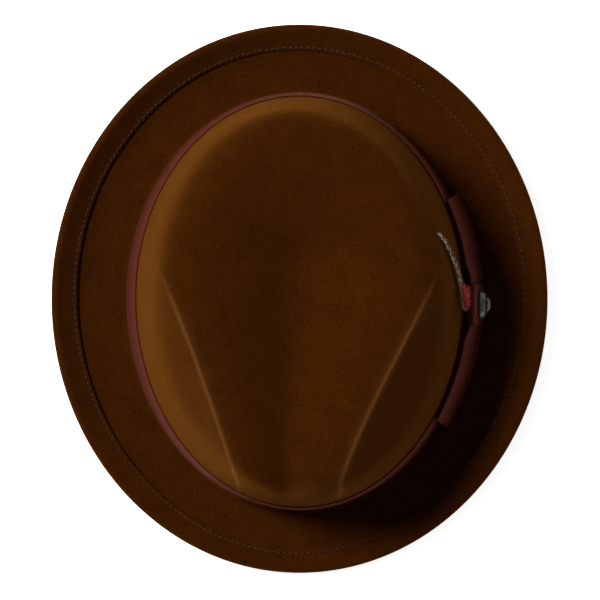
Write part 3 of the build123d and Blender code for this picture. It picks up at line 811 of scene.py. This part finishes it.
def lathe(name, profile, material, body, closed=False, sides=96):
    """A turned piece on the pin's axis from (radius, height) points."""
    angles = np.linspace(0, TURN, sides, endpoint=False)
    rings = []
    for radius, height in profile:
        spin = PIN_SIDE[None] * np.cos(angles)[:, None] + PIN_UP[None] * np.sin(angles)[:, None]
        rings.append(PIN_AT + PIN_OUT * height + spin * radius)
    if closed:
        verts = np.concatenate(rings)
        faces = grid_faces(len(rings), sides, closed_rows=True)
    else:
        verts, faces = lathe_stack(rings, PIN_AT + PIN_OUT * profile[0][1], PIN_AT + PIN_OUT * profile[-1][1])
    obj = piece(name, verts, faces, material, body)
    bevel_normals(obj)
    return obj


def bevel_normals(obj, angle=28):
    """Keeps turned edges crisp."""
    obj.data.set_sharp_from_angle(angle=math.radians(angle))


dish_profile = [(6.9, 0.0), (7.15, 0.12), (7.25, 0.4), (7.25, 0.75), (7.1, 1.05), (6.7, 1.5), (5.95, 2.45)]
dish_profile += [(5.75, 2.66), (5.5, 2.76), (5.1, 2.76), (4.9, 2.62)]
dish_profile += [(4.75, 2.35), (4.2, 2.2), (3.85, 2.2), (3.6, 2.78)]
dish = lathe("pin_dish", dish_profile, pin_metal, "pin")
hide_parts("pin_dish")
dome_profile = [(3.3, 2.82), (3.6, 2.86)]
for a in np.linspace(0, 88, 14):
    dome_profile.append((3.72 * math.cos(math.radians(a)) ** 0.75, 3.1 + 2.1 * math.sin(math.radians(a))))
dome = lathe("pin_dome", dome_profile, pin_metal, "pin")
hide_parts("pin_dome")
post_profile = [(0.1, -2.86), (0.35, -2.5), (0.6, -2.0), (0.6, -0.02)]
post = lathe("pin_post", post_profile, pin_steel, "pin")
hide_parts("pin_post")
clutch_profile = [(0.62, -2.7), (2.6, -2.72), (3.9, -2.6), (4.3, -2.2)]
clutch_profile += [(4.35, -1.7), (4.1, -1.2), (2.6, -1.08), (0.62, -1.1)]
clutch = lathe("pin_clutch", clutch_profile, pin_brass, "clutch", closed=True)
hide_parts("pin_clutch")


# ---------------------------------------------------------------- feathers

QUILL_PATH = ((-9, -20.5), (-7.4, -14), (-6, -8), (-4.6, -2.6))
LONG_PATH = ((-4.7, -2.5), (-3.2, 0.6), (4, 5), (12, 11.5), (20, 19.5), (26, 27), (30, 34))
SHORT_PATH = ((-4.7, -2.5), (-3.2, 0.6), (2, 4), (8, 9.5), (14, 15.5), (19, 21.5))
RED_PATH = ((-4.7, -2.3), (-3.2, 0.6), (-1, 3), (2, 6.5), (5, 10))
GOLD_PATH = ((-4.7, -2.2), (-3.2, 0.6), (-2, 2.5), (0.5, 5), (3, 7.5))


def shaft_points(path, outset, count):
    """Evenly spread points of a feather's shaft with its outward and sideways directions."""
    ys, rises = np.array(path, float).T
    share = np.linspace(0, len(path) - 1, count)
    y = np.interp(share, np.arange(len(path)), ys)
    rise = np.interp(share, np.arange(len(path)), rises)
    for _ in range(count // 10):
        y[1:-1] = (y[:-2] + 2 * y[1:-1] + y[2:]) / 4
        rise[1:-1] = (rise[:-2] + 2 * rise[1:-1] + rise[2:]) / 4
    points = side_point(y, rise, outset)
    out = unit(points - side_point(y, rise, 0.0))
    along = unit(np.gradient(points, axis=0))
    return points, out, along, np.cross(out, along)


def hair(verts, faces, tags, root, way, side, out, length, width, bend, lift, tag):
    """One barb: a thin tapered blade that curves towards the tip."""
    start = len(verts)
    for k, s in enumerate((0, 0.3, 0.6, 0.85, 1.0)):
        centre = root + way * length * (s * (1 - bend * 0.4) + bend * 0.4 * s * s)
        centre = centre + side * length * 0.75 * (s - bend * 0.5 * s * s) + out * lift * s * length
        half = width * (1 - 0.85 * s) / 2
        edge = unit(np.cross(out, unit(way + side)))
        verts += [centre + edge * half, centre + out * 0.05, centre - edge * half, centre - out * 0.05]
        tags += [tag[0] + (tag[1] - tag[0]) * s] * 4
    faces += grid_faces(5, 4, start=start).tolist()
    faces += [[start + 3, start + 2, start + 1, start], [start + 16, start + 17, start + 18, start + 19]]


def feather_piece(node, path, outset, widths, material, barbs, width, fluff=0.0, shaft=0.22):
    points, out, along, side = shaft_points(path, outset, 240)
    verts, faces, tags = [], [], []
    for k, centre in enumerate(points):
        r = shaft * (1 - 0.8 * k / len(points))
        for a in np.linspace(0, TURN, 6, endpoint=False):
            verts.append(centre + (side[k] * math.cos(a) + out[k] * math.sin(a)) * r)
            tags.append(0.02)
    faces += grid_faces(len(points), 6).tolist()
    faces += [list(range(6))[::-1], [len(points) * 6 - 6 + k for k in range(6)]]
    for n in range(barbs):
        s = (n + RNG.uniform(0, 1)) / barbs
        k = min(len(points) - 1, int(s * len(points)))
        half = np.interp(s, np.linspace(0, 1, len(widths)), widths)
        for hand in (-1, 1):
            length = half * RNG.uniform(0.75, 1.1)
            spread = RNG.uniform(0.9, 1.2)
            lift = RNG.uniform(-0.02, 0.45) + fluff * RNG.uniform(0, 0.6)
            way = along[k] * (1.0 if fluff == 0 else RNG.uniform(0.3, 1.0))
            tag = (s * 0.9, s * 0.9 + 0.07) if fluff == 0 else (0.0, RNG.uniform(0.5, 1.0))
            aside = side[k] * hand * spread
            hair(verts, faces, tags, points[k], way, aside, out[k], length, width, 0.6, lift, tag)
    obj = piece(node, np.array(verts), faces, material, "feathers")
    layer = obj.data.attributes.new("along", "FLOAT", "POINT")
    layer.data.foreach_set("value", np.array(tags, np.float32))
    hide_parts(node)


LONG_WIDTHS = (0.5, 3.0, 4.0, 4.0, 3.2, 1.4)
SHORT_WIDTHS = (0.8, 3.6, 4.2, 3.6, 1.6)
RED_WIDTHS = (1.3, 4.2, 4.8, 3.0)
GOLD_WIDTHS = (0.6, 1.3, 1.3, 0.5)
feather_piece("striped_feather_long", LONG_PATH, 1.1, LONG_WIDTHS, striped, 64, 1.0)
feather_piece("striped_feather_short", SHORT_PATH, 1.9, SHORT_WIDTHS, striped, 52, 1.0)
feather_piece("red_feather", RED_PATH, 2.3, RED_WIDTHS, red, 260, 0.4, fluff=1.0)
feather_piece("gold_feather", GOLD_PATH, 2.9, GOLD_WIDTHS, gold, 50, 0.2)

points, out, along, side = shaft_points(QUILL_PATH, 1.55, 60)
rings = []
for k, centre in enumerate(points):
    a = np.linspace(0, TURN, 16, endpoint=False)[:, None]
    rings.append(centre + (side[k] * np.cos(a) + out[k] * np.sin(a)) * (0.48 - 0.12 * (k == 0)))
verts, faces = lathe_stack(rings, points[0], points[-1])
quill_piece = piece("feather_quill", verts, faces, quill, "feathers")
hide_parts("feather_quill")

wrap = np.linspace(0, TURN * 7, 260)
spine = np.linspace(52, 57, 260)
base = np.stack([np.interp(spine, np.arange(60), points[:, c]) for c in range(3)], -1)
coil = base + side[54] * 0.66 * np.cos(wrap)[:, None] + out[54] * 0.66 * np.sin(wrap)[:, None]
rings = []
for k in range(len(coil)):
    radial = unit(coil[k] - base[k])
    a = np.linspace(0, TURN, 8, endpoint=False)[:, None]
    rings.append(coil[k] + (radial * np.cos(a) + along[54] * np.sin(a)) * 0.13)
verts, faces = lathe_stack(rings, coil[0], coil[-1])
binding_piece = piece("feather_binding", verts, faces, binding, "feathers")
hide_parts("feather_binding")


# ---------------------------------------------------------------- inside

def inside_sleeve(node, heights, middle, thickness, material, t):
    """An open band of sheet against the inside of the wall."""
    grid = np.stack([wall_point(t, z, -middle) for z in heights], 1)
    verts, faces = thick_sheet(grid, thickness, False)
    obj = piece(node, verts, faces, material)
    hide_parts(node)
    return obj


sweat_low, sweat_high = low_high("sweatband")
slit = 0.0035
sweat_t = np.linspace(math.pi / 2 + slit, math.pi / 2 + TURN - slit, 900)
sweat_z = np.linspace(sweat_low[2], sweat_high[2], 24)
sweatband = inside_sleeve(
    "sweatband", sweat_z, SWEATBAND_INSET + 0.5, 0.95, leather, sweat_t
)
verts, faces = band_threads(150, sweat_low[2] + 2, -SWEATBAND_FACE - 0.02, 2.2, 0.2)
stitches = piece("sweatband_stitches", verts, faces, felt_thread)
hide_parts("sweatband_stitches")

reed_low, reed_high = low_high("sweatband_reed")
reed_z = (reed_low[2] + reed_high[2]) / 2
rings = []
REED_RADIUS = 0.83
REED_SIDES = 14
reed_out = -SWEATBAND_INSET - LEATHER / 2
for a in np.linspace(0, TURN, REED_SIDES, endpoint=False):
    rings.append(wall_point(T, reed_z + REED_RADIUS * math.sin(a), reed_out + REED_RADIUS * math.cos(a)))
reed_faces = grid_faces(REED_SIDES, len(T), closed_rows=True)
reed_piece = piece("sweatband_reed", np.concatenate(rings), reed_faces, reed)
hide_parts("sweatband_reed")

seam_low, seam_high = low_high("sweatband_seam")
seam_t = np.radians(np.linspace(87.6, 92.4, 30))
seam_z = np.linspace(seam_low[2], seam_high[2], 120)
seam_grid = np.stack([wall_point(seam_t, z, -SWEATBAND_FACE - 0.18) for z in seam_z], 0)
seam = ribbon_piece("sweatband_seam", seam_grid, material=tape, thickness=0.22)
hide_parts("sweatband_seam")

bow_low, bow_high = low_high("sweatband_bow")


def small_bow():
    """A tiny flat bow over the seam, in one strip pinched at its middle."""
    t = np.linspace(math.radians(82.2), math.radians(97.8), 160)
    pinch = 1 - 0.55 * np.exp(-(((t - math.pi / 2) / math.radians(1.3)) ** 2))
    middle = (bow_low[2] + bow_high[2]) / 2
    half = (bow_high[2] - bow_low[2]) / 2 - 0.4
    out = -SWEATBAND_FACE - 0.85 - 0.2 * pinch
    rows = [wall_point(t, middle + half * s * pinch, out) for s in np.linspace(-1, 1, 13)]
    return np.stack(rows, 1)


bow_inside = ribbon_piece("sweatband_bow", small_bow(), material=tape, thickness=0.4)
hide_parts("sweatband_bow")

label_t = np.radians(np.linspace(58.3, 69.7, 40))
label_z = np.linspace(14.2, 27.8, 20)
label_grid = np.stack([wall_point(label_t, z, -SWEATBAND_FACE - 0.22) for z in label_z], 1)
verts, faces = thick_sheet(label_grid, 0.22)
label_piece = piece("size_label", verts, faces, label)
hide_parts("size_label")


def lining_ring(t, rise, depth, pleat):
    drop = LINING_DROP * float(smooth_step(rise, 0, 20))
    folds = pleat * (0.5 + 0.5 * np.cos(34 * t)) ** 3
    return dome_point(t, rise, -depth - drop - folds, 3.0)


lining_middle = LINING_INSET + SATIN / 2
lining_t = np.linspace(0, TURN, 720, endpoint=False)
side_rows = [wall_point(lining_t, z, -lining_middle) for z in np.linspace(9, 42, 12)]
PLEAT = 0.5 / 36
side_rises = np.linspace(1, 36.6, 30)
side_rows += [lining_ring(lining_t, rise, lining_middle, PLEAT * rise) for rise in side_rises]
verts, faces = thick_sheet(np.stack(side_rows, 1), 0.26, True)
lining_side = piece("lining_side", verts, faces, satin)
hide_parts("lining_side")


def tip_piece(node, rises, depth, thickness, material):
    """An oval panel under the top, as a closed shell."""
    near = [lining_ring(lining_t, r, depth + thickness / 2, 0) for r in rises]
    far = [lining_ring(lining_t, r, depth - thickness / 2, 0) for r in rises]
    verts, faces = lathe_stack(near[::-1] + far, np.mean(near[-1], 0), np.mean(far[-1], 0))
    obj = piece(node, verts, faces, material)
    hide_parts(node)
    return obj


lining_tip = tip_piece("lining_tip", np.linspace(35.2, 89, 60), lining_middle - 0.4, 0.26, satin)
shield_depth = LINING_INSET + SATIN + 0.42
tip_piece("tip_shield", np.linspace(56, 89, 36), shield_depth, 0.22, film)


# ---------------------------------------------------------------- studio

def studio():
    scene = bpy.context.scene
    scene.view_settings.view_transform = "Standard"
    mesh = bpy.data.meshes.new("floor")
    mesh.from_pydata([(-4, -4, 0), (4, -4, 0), (4, 4, 0), (-4, 4, 0)], [], [[0, 1, 2, 3]])
    floor = bpy.data.objects.new("floor", mesh)
    floor.location.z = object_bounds()[0].z - 0.0001
    scene.collection.objects.link(floor)
    paper = Nodes("paper")
    paper.shader.inputs["Emission Color"].default_value = (1, 1, 1, 1)
    paper.shader.inputs["Emission Strength"].default_value = FLOOR_GLOW
    tone = paper.ramp(paper.noise(3, 2), [(0.3, (0.93,) * 3), (0.7, (0.95,) * 3)])
    paper.set(Base_Color=tone, Roughness=0.9)
    floor.data.materials.append(paper.material)
    floor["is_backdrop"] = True
    world = bpy.data.worlds.new("studio")
    world.use_nodes = True
    world.node_tree.nodes["Background"].inputs["Color"].default_value = (1, 0.98, 0.96, 1)
    world.node_tree.nodes["Background"].inputs["Strength"].default_value = WORLD_STRENGTH
    scene.world = world
    for name, place, size, power in LIGHTS:
        lamp = bpy.data.lights.new(name, "AREA")
        lamp.shape = "DISK"
        lamp.size = size
        lamp.energy = power
        obj = bpy.data.objects.new(name, lamp)
        obj.location = place
        obj.rotation_euler = (Vector((0, 0, 0.05)) - obj.location).to_track_quat("-Z", "Y").to_euler()
        scene.collection.objects.link(obj)
        obj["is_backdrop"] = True
    lens = bpy.data.cameras.new("camera")
    camera = bpy.data.objects.new("camera", lens)
    camera.location = CAMERA_AT
    aim = Vector(CAMERA_AIM) - camera.location
    right = aim.cross(Vector((0, 1, 0))).normalized()
    turned = Matrix((right, right.cross(aim).normalized(), -aim.normalized())).transposed()
    camera.rotation_euler = turned.to_euler()
    lens.sensor_width = 36
    lens.lens = 36 * aim.length / FRAME_WIDTH
    scene.collection.objects.link(camera)
    scene.camera = camera


WORLD_STRENGTH = 0.24
FLOOR_GLOW = 0.8
LIGHTS = [("key", (-0.66, 0.36, 1.28), 0.4, 38.0)]
CAMERA_AT = (0.00025, -0.0005, 1.3)
CAMERA_AIM = (0.00025, -0.0005, 0.0)
FRAME_WIDTH = 0.2988
studio()
